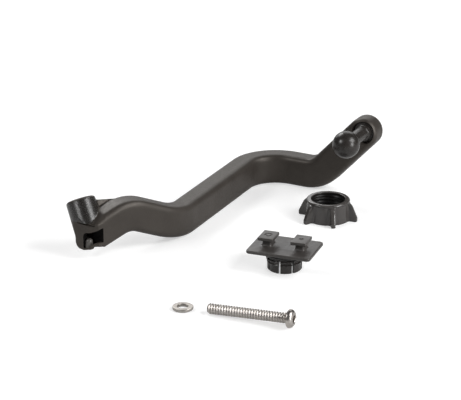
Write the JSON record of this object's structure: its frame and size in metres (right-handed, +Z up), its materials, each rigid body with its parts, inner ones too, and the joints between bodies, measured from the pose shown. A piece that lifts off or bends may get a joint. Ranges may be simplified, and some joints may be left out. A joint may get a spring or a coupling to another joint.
{
  "type": "ball mount arm kit",
  "caption": "Bent black arm with a hub at one end and a ball stud at the other, laid out with a winged collar nut, a tabbed socket adapter, a spring washer and a button-head screw.",
  "frame": {"origin": "centre of the laid-out kit's bounding box on the surface it lies on", "axes": "+Z up from the surface; +X to the right and +Y away for a viewer who has the loose pieces nearest and the ball at the right"},
  "size_m": [0.1925, 0.2382, 0.0531],
  "materials": {
    "black_powder_coat": "satin black powder coat",
    "black_ball_finish": "blackened, low gloss",
    "matte_black_nylon": "fine moulded grain",
    "glossy_black_nylon": "semi-gloss moulded",
    "stainless_steel": "bright stainless"
  },
  "bodies": {
    "arm_body": {"arm": "black_powder_coat", "ball_stud": "black_ball_finish", "stud_washer": "black_ball_finish"},
    "adapter": {"adapter_plate": "matte_black_nylon", "socket_collet": "glossy_black_nylon"},
    "nut": {"collar_nut": "glossy_black_nylon"},
    "washer": {"spring_washer": "stainless_steel"},
    "screw": {"clamp_screw": "stainless_steel"}
  },
  "joints": [
    {"name": "adapter_lift", "type": "slide", "parent": "arm_body", "child": "adapter", "axis": [0, 0, 1], "range_m": [0, 0.08]},
    {"name": "nut_lift", "type": "slide", "parent": "arm_body", "child": "nut", "axis": [0, -0.7071, 0.7071], "range_m": [0, 0.09]},
    {"name": "washer_lift", "type": "slide", "parent": "arm_body", "child": "washer", "axis": [0, 0, 1], "range_m": [0, 0.07]},
    {"name": "screw_lift", "type": "slide", "parent": "arm_body", "child": "screw", "axis": [0, 0, 1], "range_m": [0, 0.07]}
  ]
}
